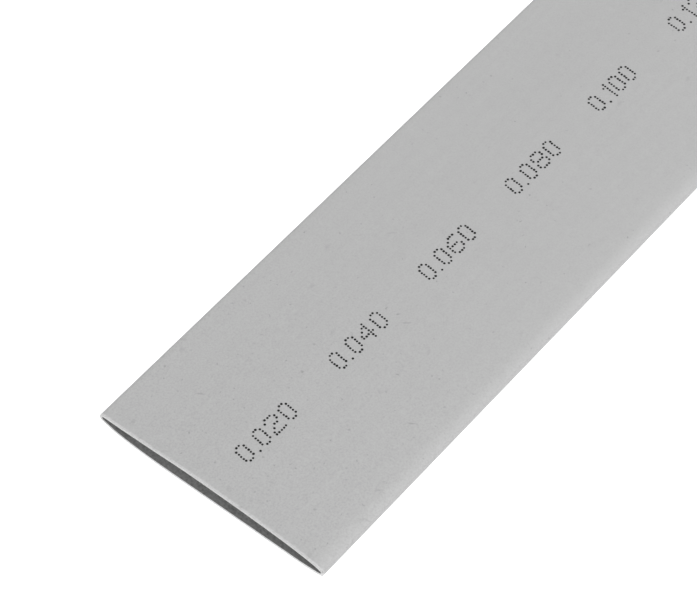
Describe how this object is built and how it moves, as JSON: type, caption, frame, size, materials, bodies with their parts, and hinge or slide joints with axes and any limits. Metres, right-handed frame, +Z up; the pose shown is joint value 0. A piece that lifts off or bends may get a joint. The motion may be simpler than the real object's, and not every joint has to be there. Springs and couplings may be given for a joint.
{
  "type": "heat shrink tube",
  "caption": "Straight length of flattened heat shrink tubing with open ends, slid over a cable joint and shrunk to insulate it.",
  "frame": {"origin": "on the floor, below the middle of the tube", "axes": "+X along the tube, +Y across it towards the crease that is raised off the floor, +Z up"},
  "size_m": [1, 0.0398, 0.0034],
  "materials": {
    "polyolefin": "soft matt grey, extruded, with cut ends a little paler"
  },
  "bodies": {
    "root": {"shrink_tube": "polyolefin"}
  },
  "joints": []
}
